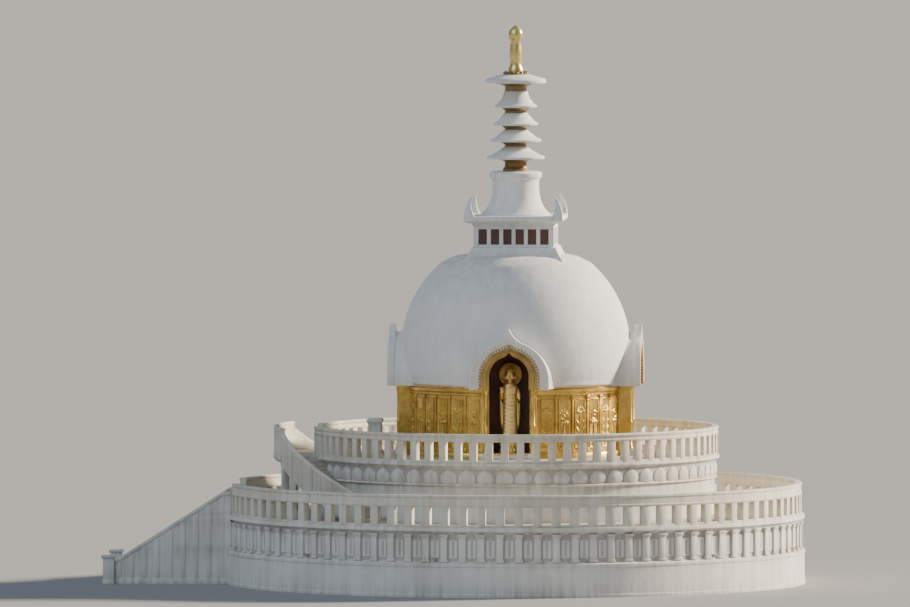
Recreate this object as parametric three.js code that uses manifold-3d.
// A white domed stupa on two round terraces, with a straight main stair, two curved upper stairs,
// four arched niches with standing figures, and a spire of stacked discs.
// Lengths are in millimetres and angles in degrees. The origin is the centre of the foot, on the ground.
// Angles are measured from the front, -Y, where the main stair is, and grow towards +X.
import * as THREE from 'three';
import { mergeVertices } from 'three/addons/utils/BufferGeometryUtils.js';
import Module from 'manifold-3d';

const wasm = await Module();
wasm.setup();

// Driving dimensions

const SEAT_GAP = 0.3;
const CUT_MARGIN = 10;
const QUARTER = 90;

// The lower terrace: a drum with a plinth, a recessed wall and a deck with a projecting edge.
const LOWER_FOOT_RADIUS = 14650;
const LOWER_PLINTH_RADIUS = 14600;
const LOWER_PLINTH_TOP = 1750;
const LOWER_WALL_RADIUS = 14380;
const LOWER_WALL_TOP = 3150;
const LOWER_EDGE_FOOT = 3300;
const LOWER_EDGE_RADIUS = 14600;
const LOWER_DECK = 3500;
const LOWER_PARAPET_RADIUS = 14470;
const LOWER_PARAPET_DEPTH = 380;
const LOWER_SLOT_TOP = 4500;
const LOWER_PARAPET_TOP = 5100;
const LOWER_BAYS = 96;
const LOWER_GAP_BAYS = 6;
const LOWER_SEGMENTS = 5;
const LOWER_FACETS = 64;

// The upper terrace: a plain wall, a row of lotus blocks and a projecting deck edge.
const UPPER_WALL_RADIUS = 10050;
const UPPER_WALL_TOP = 5300;
const UPPER_LOTUS_RADIUS = 10200;
const UPPER_LOTUS_LEDGE = 5500;
const UPPER_LOTUS_TOP = 6200;
const UPPER_RECESS_RADIUS = 10080;
const UPPER_EDGE_FOOT = 6380;
const UPPER_EDGE_RADIUS = 10300;
const UPPER_DECK = 6500;
const UPPER_PARAPET_RADIUS = 10250;
const UPPER_PARAPET_DEPTH = 360;
const UPPER_SLOT_TOP = 7560;
const UPPER_PARAPET_TOP = 7950;
const UPPER_BAYS = 80;
const UPPER_GAP_BAYS = 4;
const UPPER_SEGMENTS = 4;
const UPPER_FACETS = 48;
const POST_SHARE = 0.46;

// The straight main stair and its side walls, which end in square posts.
const STAIR_HALF_WIDTH = 2450;
const STAIR_WALL_THICKNESS = 420;
const STAIR_RISERS = 20;
const STAIR_GOING = 275;
const STAIR_WALL_HEIGHT = 1150;
const STAIR_WALL_LIP = 40;
const STAIR_EMBED = 400;
const NEWEL_OVERLAP = 10;
const NEWEL_SIDE = 600;
const NEWEL_HEIGHT = 1330;
const NEWEL_CAP_OVERHANG = 60;
const NEWEL_CAP_HEIGHT = 150;

// The curved stairs, which climb round the upper drum to a landing at the front.
const LANDING_HALF_ANGLE = 18;
const CURVED_STAIR_END = 53;
const CURVED_STAIR_RADIUS = 12240;
const CURVED_RISERS = 18;
const CURVED_SLAB = 260;
const CURVED_EMBED = 150;
const CURVED_PARAPET_DEPTH = 220;
const CURVED_PARAPET_HEIGHT = 1250;
const LANDING_STEPS = 10;
const LANDING_SLAB = 300;
const LANDING_PARAPET_TOP = 7950;
const PIER_RADIUS = 12150;
const PIER_DEPTH = 420;
const PIER_ANGLE = 16.4;
const PIER_HALF_ANGLE = 1;

// The gilded band and the dome on it.
const BAND_RADIUS = 5500;
const DOME_RADIUS = 5820;
const DOME_CENTRE = 11800;
const DOME_FOOT = 10100;
const DOME_TOP = 16200;
const DOME_CAP_RADIUS = 2950;
const DOME_CAP_TOP = 16500;
const DOME_STEPS = 8;

// The four arched niches: shallow jambs under a hood that flares back from its face to the dome.
const HOOD_FACE = 6410;
const HOOD_SLAB = 360;
const JAMB_FACE = 5850;
const PORTAL_BACK = 4300;
const PORTAL_BACK_WALL = 200;
const PORTAL_SILL = 6800;
const JAMB_HALF_WIDTH = 1360;
const NICHE_HALF_WIDTH = 1000;
const NICHE_SPRINGING = 10700;
const NICHE_APEX = 11900;
const HOOD_HALF_WIDTH = 2020;
const HOOD_FOOT = 10020;
const HOOD_SPRINGING = 10450;
const HOOD_APEX = 13100;
const HOOD_CROWN_ANGLE = 66;
const FLARE_HALF_WIDTH = 2430;
const FLARE_APEX = 12950;
const FLARE_ROOT = 4700;
const FLARE_SHARE = 0.97;
const FLARE_DROP = 420;
const FLARE_OVERLAP = 20;
const ARCH_CROWN_ANGLE = 62;
const LINER_CROWN_ANGLE = 70;
const LINER_RISE = 1510;
const CROWN_PINCH = 0.12;
const ARCH_STEPS = 4;

// The standing figures on lotus pedestals.
const FIGURE_DISTANCE = 5180;
const PEDESTAL_RADIUS = 620;
const PEDESTAL_WAIST = 500;
const PEDESTAL_TOP = 7250;
const FIGURE_DEPTH_SHARE = 0.62;
const FIGURE_FACETS = 8;
const ROBE_PROFILE = [
  [480, 7240],
  [520, 7560],
  [470, 8610],
  [500, 9510],
  [660, 10140],
  [560, 10330],
  [190, 10450],
  [180, 10600],
];
const ROBE_TOP = 10600;
const HEAD_FOOT = 10530;
const HEAD_PROFILE = [
  [180, 10590],
  [270, 10760],
  [250, 10950],
  [130, 11050],
  [90, 11150],
];
const HEAD_TOP = 11150;

// The stand for offerings before the front niche.
const STAND_WIDTH = 1100;
const STAND_DEPTH = 650;
const STAND_DISTANCE = 6800;
const STAND_HEIGHT = 1600;
const STAND_CAP_OVERHANG = 80;
const STAND_CAP_HEIGHT = 180;

// The square block on the dome and its horned cornice.
const HARMIKA_FOOT_HALF = 2640;
const HARMIKA_SHOULDER_HALF = 2130;
const HARMIKA_HALF = 2030;
const HARMIKA_SHOULDER = 17000;
const HARMIKA_NECK = 18100;
const CORNICE_HALF = 2500;
const CORNICE_SLAB = 18350;
const CORNICE_TOP = 18600;
const HORN_SECTIONS = [
  { middle: 2210, half: 285, height: 18590 },
  { middle: 2275, half: 185, height: 18900 },
  { middle: 2235, half: 110, height: 19250 },
  { middle: 2100, half: 35, height: 19600 },
];

// The bell, the stack of discs and the gilded tip.
const BELL_PROFILE = [
  [1740, 18600],
  [1720, 18700],
  [1450, 18950],
  [1270, 19300],
  [1190, 19700],
  [1170, 20300],
  [1300, 20480],
  [1320, 20700],
  [1240, 20800],
];
const BELL_TOP = 20800;
const CORE_RADIUS = 550;
const DISC_LIP = 90;
const DISC_HOLLOW = 40;
const DISC_SLOPE_RISE = 130;
const DISC_NECK_RISE = 330;
const DISCS = [
  { rim: 1460, foot: 21430, shoulder: 22050 },
  { rim: 1290, foot: 22300, shoulder: 22900 },
  { rim: 1130, foot: 23130, shoulder: 23750 },
  { rim: 1070, foot: 24030, shoulder: 24850 },
];
const PARASOL_RIM = 1530;
const PARASOL_FOOT = 25280;
const PARASOL_LIP = 160;
const PARASOL_TOP = 25800;
const SPIRE_FACETS = 20;
const FINIAL_PROFILE = [
  [380, 25800],
  [380, 26050],
  [270, 26200],
  [310, 26800],
  [240, 27350],
  [370, 27550],
  [370, 27850],
  [180, 28080],
];
const FINIAL_TOP = 28200;
const FINIAL_FACETS = 12;

// Materials

const lime = () => new THREE.MeshStandardMaterial({ color: 0xf2eddf, roughness: 0.85, metalness: 0 });
const paving = () => new THREE.MeshStandardMaterial({ color: 0xb9b2a4, roughness: 0.9, metalness: 0 });
const gilding = () => new THREE.MeshStandardMaterial({ color: 0xc89a3c, roughness: 0.38, metalness: 0.85 });

// Shapes

function polar(radius, degrees) {
  const turn = THREE.MathUtils.degToRad(degrees);
  return new THREE.Vector2(radius * Math.sin(turn), -radius * Math.cos(turn));
}

function solid(geometry) {
  const bare = geometry.index ? geometry.toNonIndexed() : geometry.clone();
  bare.deleteAttribute('normal');
  bare.deleteAttribute('uv');
  const merged = mergeVertices(bare, 0.02);
  const corners = merged.index.array;
  const kept = [];
  for (let i = 0; i < corners.length; i += 3) {
    const [a, b, c] = [corners[i], corners[i + 1], corners[i + 2]];
    if (a !== b && b !== c && c !== a) kept.push(a, b, c);
  }
  const vertProperties = new Float32Array(merged.attributes.position.array);
  return new wasm.Manifold(new wasm.Mesh({ numProp: 3, vertProperties, triVerts: new Uint32Array(kept) }));
}

function geometryOf(body) {
  const data = body.getMesh();
  const geometry = new THREE.BufferGeometry();
  geometry.setAttribute('position', new THREE.BufferAttribute(new Float32Array(data.vertProperties), 3));
  geometry.setIndex(new THREE.BufferAttribute(new Uint32Array(data.triVerts), 1));
  geometry.computeVertexNormals();
  return geometry;
}

function join(bodies) {
  return bodies.reduce((whole, body) => whole.add(body));
}

// A solid of revolution from [radius, height] points, listed upwards from the axis to the axis.
function turned(profile, facets) {
  const points = profile.map(([radius, height]) => new THREE.Vector2(radius, height));
  const lathe = new THREE.LatheGeometry(points, facets);
  lathe.rotateX(Math.PI / 2);
  return solid(lathe);
}

function evenly(from, to, steps) {
  return Array.from({ length: steps + 1 }, (_, i) => from + ((to - from) * i) / steps);
}

// A block bent round the axis through a list of angles, with flat top and foot.
function sector(inner, outer, angles, bottom, top) {
  const outside = angles.map((angle) => polar(outer, angle));
  const inside = angles.map((angle) => polar(inner, angle)).reverse();
  const outline = [...outside, ...inside];
  const block = new THREE.ExtrudeGeometry(new THREE.Shape(outline), {
    depth: top - bottom,
    bevelEnabled: false,
  });
  block.translate(0, 0, bottom);
  return solid(block);
}

// A block bent round the axis whose foot and top slope from one end to the other.
function slopedSector(inner, outer, near, far) {
  const corners = [];
  for (const end of [near, far]) {
    for (const radius of [inner, outer]) {
      const place = polar(radius, end.angle);
      corners.push([place.x, place.y, end.under], [place.x, place.y, end.over]);
    }
  }
  const faces = [
    [0, 2, 3, 1],
    [4, 5, 7, 6],
    [0, 4, 6, 2],
    [1, 3, 7, 5],
    [0, 1, 5, 4],
    [2, 6, 7, 3],
  ];
  const points = [];
  const outward = far.angle > near.angle;
  for (const face of faces) {
    const ring = outward ? face : [...face].reverse();
    for (const corner of [ring[0], ring[1], ring[2], ring[0], ring[2], ring[3]]) {
      points.push(...corners[corner]);
    }
  }
  const block = new THREE.BufferGeometry();
  block.setAttribute('position', new THREE.Float32BufferAttribute(points, 3));
  return solid(block);
}

// A flat outline of [across, height] points, extruded along Y between two distances in front.
function facing(shape, nearest, farthest) {
  const slab = new THREE.ExtrudeGeometry(shape, {
    depth: farthest - nearest,
    bevelEnabled: false,
    curveSegments: ARCH_STEPS,
  });
  slab.rotateX(Math.PI / 2);
  slab.translate(0, -nearest, 0);
  return solid(slab);
}

// A side outline of [distance in front, height] points, extruded along X.
function sideways(points, from, to) {
  const shape = new THREE.Shape(points.map(([distance, height]) => new THREE.Vector2(distance, height)));
  const slab = new THREE.ExtrudeGeometry(shape, { depth: to - from, bevelEnabled: false });
  slab.rotateX(Math.PI / 2);
  slab.rotateZ(-Math.PI / 2);
  slab.translate(to, 0, 0);
  return solid(slab);
}

function box(width, depth, height, x, y, bottom) {
  const block = new THREE.BoxGeometry(width, depth, height);
  block.translate(x, y, bottom + height / 2);
  return solid(block);
}

// A square frustum round the axis.
function squareFrustum(footHalf, topHalf, bottom, top) {
  const block = new THREE.CylinderGeometry(
    topHalf * Math.SQRT2,
    footHalf * Math.SQRT2,
    top - bottom,
    4,
  );
  block.rotateX(Math.PI / 2);
  block.rotateZ(Math.PI / 4);
  block.translate(0, 0, (top + bottom) / 2);
  return solid(block);
}

const stupa = new THREE.Group();

function place(name, body, material, quarterTurns = 0) {
  const mesh = new THREE.Mesh(geometryOf(body), material);
  mesh.name = name;
  mesh.rotation.z = THREE.MathUtils.degToRad(QUARTER * quarterTurns);
  stupa.add(mesh);
}

// Lower terrace

const lowerDrum = turned([
  [0, 0],
  [LOWER_FOOT_RADIUS, 0],
  [LOWER_PLINTH_RADIUS, LOWER_PLINTH_TOP],
  [LOWER_WALL_RADIUS, LOWER_PLINTH_TOP],
  [LOWER_WALL_RADIUS, LOWER_WALL_TOP],
  [0, LOWER_WALL_TOP],
], LOWER_FACETS);
const lowerDeck = turned([
  [0, LOWER_WALL_TOP],
  [LOWER_WALL_RADIUS, LOWER_WALL_TOP],
  [LOWER_EDGE_RADIUS, LOWER_EDGE_FOOT],
  [LOWER_EDGE_RADIUS, LOWER_DECK],
  [0, LOWER_DECK],
], LOWER_FACETS);
place('lower_drum', lowerDrum, lime());
place('lower_deck', lowerDeck, paving());

// A run of posts that stand on a deck and carry a coping, as one piece.
function parapet(outer, depth, bottom, slotTop, top, pitch, firstBay, bays) {
  const half = (pitch * POST_SHARE) / 2;
  const posts = [];
  const stations = [];
  for (let i = 0; i <= bays; i += 1) {
    const middle = (firstBay + i) * pitch;
    const left = i === 0 ? middle : middle - half;
    const right = i === bays ? middle : middle + half;
    stations.push(left, right);
    posts.push(sector(outer - depth, outer, [left, right], bottom, slotTop));
  }
  return join([sector(outer - depth, outer, stations, slotTop, top), ...posts]);
}

const lowerPitch = 360 / LOWER_BAYS;
const lowerRun = (LOWER_BAYS - LOWER_GAP_BAYS) / LOWER_SEGMENTS;
for (let i = 0; i < LOWER_SEGMENTS; i += 1) {
  const run = parapet(
    LOWER_PARAPET_RADIUS,
    LOWER_PARAPET_DEPTH,
    LOWER_DECK,
    LOWER_SLOT_TOP,
    LOWER_PARAPET_TOP,
    lowerPitch,
    LOWER_GAP_BAYS / 2 + i * lowerRun,
    lowerRun,
  );
  place(`lower_parapet_${i + 1}`, run, lime());
}

// Upper terrace

const upperWall = turned([
  [0, LOWER_DECK],
  [UPPER_WALL_RADIUS, LOWER_DECK],
  [UPPER_WALL_RADIUS, UPPER_WALL_TOP],
  [0, UPPER_WALL_TOP],
], UPPER_FACETS);
const upperLotus = turned([
  [0, UPPER_WALL_TOP],
  [UPPER_WALL_RADIUS, UPPER_WALL_TOP],
  [UPPER_LOTUS_RADIUS, UPPER_LOTUS_LEDGE],
  [UPPER_LOTUS_RADIUS, UPPER_LOTUS_TOP],
  [0, UPPER_LOTUS_TOP],
], UPPER_FACETS);
const upperDeck = turned([
  [0, UPPER_LOTUS_TOP],
  [UPPER_RECESS_RADIUS, UPPER_LOTUS_TOP],
  [UPPER_EDGE_RADIUS, UPPER_EDGE_FOOT],
  [UPPER_EDGE_RADIUS, UPPER_DECK],
  [0, UPPER_DECK],
], UPPER_FACETS);
place('upper_drum', upperWall, lime());
place('upper_lotus_course', upperLotus, lime());
place('upper_deck', upperDeck, paving());

const upperPitch = 360 / UPPER_BAYS;
const upperRun = (UPPER_BAYS - UPPER_GAP_BAYS) / UPPER_SEGMENTS;
for (let i = 0; i < UPPER_SEGMENTS; i += 1) {
  const run = parapet(
    UPPER_PARAPET_RADIUS,
    UPPER_PARAPET_DEPTH,
    UPPER_DECK,
    UPPER_SLOT_TOP,
    UPPER_PARAPET_TOP,
    upperPitch,
    UPPER_GAP_BAYS / 2 + i * upperRun,
    upperRun,
  );
  place(`upper_parapet_${i + 1}`, run, lime());
}

// Main stair

const stairRise = LOWER_DECK / STAIR_RISERS;
const stairHead = LOWER_FOOT_RADIUS;
const stairFoot = stairHead + (STAIR_RISERS - 1) * STAIR_GOING;
const stairInside = stairHead - STAIR_EMBED;
const stairSlope = stairRise / STAIR_GOING;

const stepOutline = [[stairInside, 0], [stairFoot, 0]];
for (let i = 1; i < STAIR_RISERS; i += 1) {
  const nosing = stairFoot - (i - 1) * STAIR_GOING;
  stepOutline.push([nosing, i * stairRise], [nosing - STAIR_GOING, i * stairRise]);
}
stepOutline.push([stairHead, LOWER_DECK], [stairInside, LOWER_DECK]);

// What the lower drum and deck take from anything that is built against them.
const lowerClearance = turned([
  [0, -CUT_MARGIN],
  [LOWER_FOOT_RADIUS + SEAT_GAP, -CUT_MARGIN],
  [LOWER_PLINTH_RADIUS + SEAT_GAP, LOWER_PLINTH_TOP + SEAT_GAP],
  [LOWER_WALL_RADIUS + SEAT_GAP, LOWER_PLINTH_TOP + SEAT_GAP],
  [LOWER_WALL_RADIUS + SEAT_GAP, LOWER_WALL_TOP - SEAT_GAP],
  [LOWER_EDGE_RADIUS + SEAT_GAP, LOWER_EDGE_FOOT - SEAT_GAP],
  [LOWER_EDGE_RADIUS + SEAT_GAP, LOWER_DECK + CUT_MARGIN],
  [0, LOWER_DECK + CUT_MARGIN],
], LOWER_FACETS);

const steps = sideways(stepOutline, -STAIR_HALF_WIDTH, STAIR_HALF_WIDTH);
place('main_stair', steps.subtract(lowerClearance), paving());

const wallFoot = stairFoot + STAIR_GOING;
const wallHead = stairHead + STAIR_WALL_LIP;
const wallRun = wallFoot - wallHead;
const wallOutline = [
  [stairInside, 0],
  [wallFoot, 0],
  [wallFoot, STAIR_WALL_HEIGHT],
  [wallHead, STAIR_WALL_HEIGHT + wallRun * stairSlope],
  [stairInside, STAIR_WALL_HEIGHT + wallRun * stairSlope],
];
const lowerParapetClearance = turned([
  [0, LOWER_DECK + SEAT_GAP],
  [LOWER_EDGE_RADIUS + SEAT_GAP, LOWER_DECK + SEAT_GAP],
  [LOWER_EDGE_RADIUS + SEAT_GAP, LOWER_PARAPET_TOP + CUT_MARGIN],
  [0, LOWER_PARAPET_TOP + CUT_MARGIN],
], LOWER_FACETS);
for (const [side, name] of [[-1, 'left'], [1, 'right']]) {
  const inner = STAIR_HALF_WIDTH + SEAT_GAP;
  const outer = inner + STAIR_WALL_THICKNESS;
  const [from, to] = side < 0 ? [-outer, -inner] : [inner, outer];
  const middle = side * (inner + NEWEL_SIDE / 2);
  const newelMiddle = -(wallFoot + NEWEL_SIDE / 2 - NEWEL_OVERLAP);
  const capSide = NEWEL_SIDE + 2 * NEWEL_CAP_OVERHANG;
  const wall = join([
    sideways(wallOutline, from, to).subtract(lowerClearance).subtract(lowerParapetClearance),
    box(NEWEL_SIDE, NEWEL_SIDE, NEWEL_HEIGHT, middle, newelMiddle, 0),
    box(capSide, capSide, NEWEL_CAP_HEIGHT, middle, newelMiddle, NEWEL_HEIGHT),
  ]);
  place(`stair_wall_${name}`, wall, lime());
}

// Curved stairs and their landing

// What the upper drum, its courses, deck and parapet take from anything that is built against them.
const upperClearance = turned([
  [0, LOWER_DECK - CUT_MARGIN],
  [UPPER_WALL_RADIUS + SEAT_GAP, LOWER_DECK - CUT_MARGIN],
  [UPPER_WALL_RADIUS + SEAT_GAP, UPPER_WALL_TOP],
  [UPPER_LOTUS_RADIUS + SEAT_GAP, UPPER_LOTUS_LEDGE],
  [UPPER_LOTUS_RADIUS + SEAT_GAP, UPPER_LOTUS_TOP + SEAT_GAP],
  [UPPER_EDGE_RADIUS + SEAT_GAP, UPPER_EDGE_FOOT - SEAT_GAP],
  [UPPER_EDGE_RADIUS + SEAT_GAP, UPPER_PARAPET_TOP + CUT_MARGIN],
  [0, UPPER_PARAPET_TOP + CUT_MARGIN],
], UPPER_FACETS);

const curvedInside = UPPER_WALL_RADIUS - CURVED_EMBED;
const landingAngles = evenly(-LANDING_HALF_ANGLE, LANDING_HALF_ANGLE, LANDING_STEPS);
const landingUnderside = UPPER_DECK - LANDING_SLAB;
const landing = sector(curvedInside, CURVED_STAIR_RADIUS, landingAngles, landingUnderside, UPPER_DECK);
place('stair_landing', landing.subtract(upperClearance), paving());

const landingParapet = sector(CURVED_STAIR_RADIUS - CURVED_PARAPET_DEPTH, CURVED_STAIR_RADIUS,
  landingAngles, UPPER_DECK, LANDING_PARAPET_TOP);
place('landing_parapet', landingParapet, lime());

const curvedRise = (UPPER_DECK - LOWER_DECK) / CURVED_RISERS;
const curvedTreads = CURVED_RISERS - 1;
const curvedTurn = (CURVED_STAIR_END - LANDING_HALF_ANGLE) / curvedTreads;

// The heights of the sloping underside and of the parapet's top, a number of treads below the landing.
const underside = (treads) => Math.max(LOWER_DECK, UPPER_DECK - curvedRise * (treads + 1) - CURVED_SLAB);
const handrail = (treads) => UPPER_DECK - curvedRise * (treads + 0.5) + CURVED_PARAPET_HEIGHT;
const turnOf = (treads) => LANDING_HALF_ANGLE + curvedTurn * treads;

for (const [side, name] of [[-1, 'left'], [1, 'right']]) {
  const treads = [];
  const parapets = [];
  const tread = CURVED_STAIR_RADIUS - CURVED_PARAPET_DEPTH - SEAT_GAP;
  const startGap = THREE.MathUtils.radToDeg(SEAT_GAP / CURVED_STAIR_RADIUS);
  for (let i = 0; i < curvedTreads; i += 1) {
    const start = turnOf(i) + (i === 0 ? startGap : 0);
    const over = UPPER_DECK - curvedRise * (i + 1);
    treads.push(slopedSector(curvedInside, tread,
      { angle: side * start, under: underside(i), over },
      { angle: side * turnOf(i + 1), under: underside(i + 1), over }));
    parapets.push(slopedSector(tread + SEAT_GAP, CURVED_STAIR_RADIUS,
      { angle: side * start, under: underside(i), over: handrail(i) },
      { angle: side * turnOf(i + 1), under: underside(i + 1), over: handrail(i + 1) }));
  }
  place(`curved_stair_${name}`, join(treads).subtract(upperClearance), paving());
  place(`curved_parapet_${name}`, join(parapets), lime());

  const pierAngles = evenly(side * PIER_ANGLE - PIER_HALF_ANGLE, side * PIER_ANGLE + PIER_HALF_ANGLE, 1);
  const pier = sector(PIER_RADIUS - PIER_DEPTH, PIER_RADIUS, pierAngles, LOWER_DECK, landingUnderside);
  place(`landing_pier_${name}`, pier, lime());
}

// Gilded band and dome

// An upright arch: straight jambs, a round head and a pointed crown.
function archShape(halfWidth, foot, springing, apex, crownAngle) {
  const shape = new THREE.Shape();
  const turn = THREE.MathUtils.degToRad(crownAngle);
  const crown = springing + halfWidth * Math.sin(turn);
  const pull = springing + halfWidth;
  shape.moveTo(-halfWidth, foot);
  shape.lineTo(halfWidth, foot);
  shape.lineTo(halfWidth, springing);
  shape.absarc(0, springing, halfWidth, 0, turn, false);
  shape.quadraticCurveTo(halfWidth * CROWN_PINCH, pull, 0, apex);
  shape.quadraticCurveTo(-halfWidth * CROWN_PINCH, pull, -halfWidth * Math.cos(turn), crown);
  shape.absarc(0, springing, halfWidth, Math.PI - turn, Math.PI, false);
  return shape;
}

function domeProfile(grow) {
  const from = Math.asin((DOME_FOOT - DOME_CENTRE) / DOME_RADIUS);
  const to = Math.asin((DOME_TOP - DOME_CENTRE) / DOME_RADIUS);
  const radius = DOME_RADIUS + grow;
  const points = [];
  for (let i = 0; i <= DOME_STEPS; i += 1) {
    const turn = from + ((to - from) * i) / DOME_STEPS;
    points.push([radius * Math.cos(turn), DOME_CENTRE + radius * Math.sin(turn)]);
  }
  return points;
}

const linerTop = NICHE_SPRINGING + LINER_RISE;
const liner = archShape(JAMB_HALF_WIDTH, UPPER_DECK, NICHE_SPRINGING, linerTop, LINER_CROWN_ANGLE);
const linerRoom = archShape(JAMB_HALF_WIDTH + SEAT_GAP, UPPER_DECK - CUT_MARGIN, NICHE_SPRINGING,
  linerTop + SEAT_GAP, LINER_CROWN_ANGLE);
const linerCut = facing(linerRoom, PORTAL_BACK - SEAT_GAP, HOOD_FACE + CUT_MARGIN);
const linerCuts = join([0, 1, 2, 3].map((i) => linerCut.rotate([0, 0, QUARTER * i])));

const band = turned([
  [0, UPPER_DECK],
  [BAND_RADIUS, UPPER_DECK],
  [BAND_RADIUS, DOME_FOOT],
  [0, DOME_FOOT],
], UPPER_FACETS);
const blockSide = 2 * (HARMIKA_FOOT_HALF + SEAT_GAP);
const blockRoom = box(blockSide, blockSide, DOME_CAP_TOP + CUT_MARGIN - DOME_TOP, 0, 0, DOME_TOP);
const dome = turned([
  [0, DOME_FOOT],
  ...domeProfile(0),
  [DOME_CAP_RADIUS, DOME_CAP_TOP],
  [0, DOME_CAP_TOP],
], UPPER_FACETS);
place('gilded_band', band.subtract(linerCuts), gilding());
place('dome', dome.subtract(linerCuts).subtract(blockRoom), lime());

// Arched niches

const bandAndDomeRoom = join([
  turned([
    [0, UPPER_DECK - CUT_MARGIN],
    [BAND_RADIUS + SEAT_GAP, UPPER_DECK - CUT_MARGIN],
    [BAND_RADIUS + SEAT_GAP, DOME_FOOT + SEAT_GAP],
    [0, DOME_FOOT + SEAT_GAP],
  ], UPPER_FACETS),
  turned([[0, DOME_FOOT - SEAT_GAP], ...domeProfile(SEAT_GAP), [0, DOME_TOP + SEAT_GAP]], UPPER_FACETS),
]);

// The corners of a hood's outline, stood upright at a distance in front of the axis.
function hoodCorners(halfWidth, apex, distance) {
  const shape = archShape(halfWidth, HOOD_FOOT, HOOD_SPRINGING, apex, HOOD_CROWN_ANGLE);
  const outline = shape.getPoints(ARCH_STEPS);
  return outline.map(({ x, y }) => new THREE.Vector3(x, -distance, y));
}

// A solid between two outlines that have the same number of corners, the nearer one first.
function lofted(back, front) {
  const count = back.length;
  const flat = front.map(({ x, z }) => new THREE.Vector2(x, z));
  const points = [];
  const add = (...corners) => corners.forEach((corner) => points.push(corner.x, corner.y, corner.z));
  for (const [a, b, c] of THREE.ShapeUtils.triangulateShape(flat, [])) {
    add(front[a], front[b], front[c]);
    add(back[a], back[c], back[b]);
  }
  for (let i = 0; i < count; i += 1) {
    const next = (i + 1) % count;
    add(back[i], back[next], front[next]);
    add(back[i], front[next], front[i]);
  }
  const block = new THREE.BufferGeometry();
  block.setAttribute('position', new THREE.Float32BufferAttribute(points, 3));
  return solid(block);
}

const hoodOutline = archShape(HOOD_HALF_WIDTH, HOOD_FOOT, HOOD_SPRINGING, HOOD_APEX, HOOD_CROWN_ANGLE);
const slabBack = HOOD_FACE - HOOD_SLAB;
const flare = lofted(
  hoodCorners(FLARE_HALF_WIDTH, FLARE_APEX, FLARE_ROOT),
  hoodCorners(HOOD_HALF_WIDTH * FLARE_SHARE, HOOD_APEX - FLARE_DROP, slabBack + FLARE_OVERLAP),
);
const jambs = facing(liner, PORTAL_BACK, JAMB_FACE);
const jambRoom = facing(linerRoom, PORTAL_BACK - SEAT_GAP, JAMB_FACE + SEAT_GAP);
const niche = archShape(NICHE_HALF_WIDTH, PORTAL_SILL, NICHE_SPRINGING, NICHE_APEX, ARCH_CROWN_ANGLE);
const nicheCut = facing(niche, PORTAL_BACK + PORTAL_BACK_WALL, HOOD_FACE + CUT_MARGIN);
const portal = jambs.subtract(nicheCut);
const hood = join([facing(hoodOutline, slabBack, HOOD_FACE), flare])
  .subtract(bandAndDomeRoom)
  .subtract(jambRoom)
  .subtract(nicheCut);

// Standing figures

function figure() {
  const robe = turned([
    [0, ROBE_PROFILE[0][1]],
    ...ROBE_PROFILE,
    [0, ROBE_TOP],
  ], FIGURE_FACETS).scale([1, FIGURE_DEPTH_SHARE, 1]);
  const head = turned([[0, HEAD_FOOT], ...HEAD_PROFILE, [0, HEAD_TOP]], FIGURE_FACETS);
  const pedestal = turned([
    [0, PORTAL_SILL],
    [PEDESTAL_RADIUS, PORTAL_SILL],
    [PEDESTAL_WAIST, (PORTAL_SILL + PEDESTAL_TOP) / 2],
    [PEDESTAL_RADIUS, PEDESTAL_TOP],
    [0, PEDESTAL_TOP],
  ], FIGURE_FACETS);
  return join([pedestal, robe, head]).translate([0, -FIGURE_DISTANCE, 0]);
}

const standMiddle = -(STAND_DISTANCE + STAND_DEPTH / 2);
place('offering_stand', join([
  box(STAND_WIDTH, STAND_DEPTH, STAND_HEIGHT, 0, standMiddle, UPPER_DECK),
  box(STAND_WIDTH + 2 * STAND_CAP_OVERHANG, STAND_DEPTH + 2 * STAND_CAP_OVERHANG, STAND_CAP_HEIGHT, 0,
    standMiddle, UPPER_DECK + STAND_HEIGHT),
]), lime());

const figureBody = figure();
['front', 'east', 'back', 'west'].forEach((side, i) => {
  place(`portal_${side}`, portal, lime(), i);
  place(`hood_${side}`, hood, lime(), i);
  place(`figure_${side}`, figureBody, gilding(), i);
});

// Square block with a horned cornice

place('harmika', join([
  squareFrustum(HARMIKA_FOOT_HALF, HARMIKA_FOOT_HALF, DOME_TOP, DOME_CAP_TOP),
  squareFrustum(HARMIKA_FOOT_HALF, HARMIKA_SHOULDER_HALF, DOME_CAP_TOP, HARMIKA_SHOULDER),
  squareFrustum(HARMIKA_HALF, HARMIKA_HALF, HARMIKA_SHOULDER, HARMIKA_NECK),
]), lime());

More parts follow.
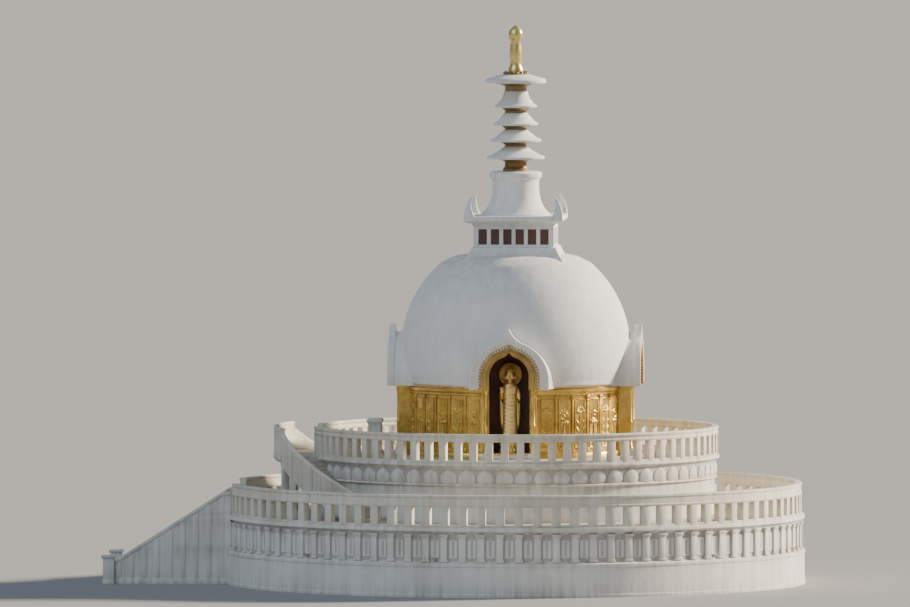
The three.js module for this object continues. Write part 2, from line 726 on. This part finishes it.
// One upturned corner horn: square sections that shrink and lean in towards the tip.
function horn(quarterTurns) {
  const rings = HORN_SECTIONS.map(({ middle, half, height }) => [
    [middle - half, middle - half, height],
    [middle + half, middle - half, height],
    [middle + half, middle + half, height],
    [middle - half, middle + half, height],
  ]);
  const points = [];
  const quad = (a, b, c, d) => points.push(...a, ...b, ...c, ...a, ...c, ...d);
  for (let i = 1; i < rings.length; i += 1) {
    for (let j = 0; j < 4; j += 1) {
      const next = (j + 1) % 4;
      quad(rings[i - 1][j], rings[i - 1][next], rings[i][next], rings[i][j]);
    }
  }
  const top = rings[rings.length - 1];
  quad(rings[0][3], rings[0][2], rings[0][1], rings[0][0]);
  quad(top[0], top[1], top[2], top[3]);
  const spike = new THREE.BufferGeometry();
  spike.setAttribute('position', new THREE.Float32BufferAttribute(points, 3));
  spike.rotateZ(THREE.MathUtils.degToRad(QUARTER * quarterTurns));
  return solid(spike);
}

place('harmika_cornice', join([
  squareFrustum(HARMIKA_HALF, CORNICE_HALF, HARMIKA_NECK, CORNICE_SLAB),
  squareFrustum(CORNICE_HALF, CORNICE_HALF, CORNICE_SLAB, CORNICE_TOP),
  ...[0, 1, 2, 3].map(horn),
]), lime());

// Bell, discs and tip

place('bell', turned([[0, CORNICE_TOP], ...BELL_PROFILE, [0, BELL_TOP]], SPIRE_FACETS), lime());

const spireProfile = [[0, BELL_TOP], [CORE_RADIUS, BELL_TOP]];
for (const { rim, foot, shoulder } of DISCS) {
  spireProfile.push(
    [CORE_RADIUS, foot - DISC_HOLLOW],
    [rim, foot],
    [rim, foot + DISC_LIP],
    [rim * 0.8, foot + DISC_LIP + DISC_SLOPE_RISE],
    [(rim + 3 * CORE_RADIUS) / 4, foot + DISC_LIP + DISC_NECK_RISE],
    [CORE_RADIUS, shoulder],
  );
}
spireProfile.push(
  [CORE_RADIUS, PARASOL_FOOT - DISC_HOLLOW],
  [PARASOL_RIM, PARASOL_FOOT],
  [PARASOL_RIM, PARASOL_FOOT + PARASOL_LIP],
  [CORE_RADIUS, PARASOL_TOP],
  [0, PARASOL_TOP],
);
place('disc_spire', turned(spireProfile, SPIRE_FACETS), lime());
place('finial', turned([[0, PARASOL_TOP], ...FINIAL_PROFILE, [0, FINIAL_TOP]], FINIAL_FACETS), gilding());

export default stupa;
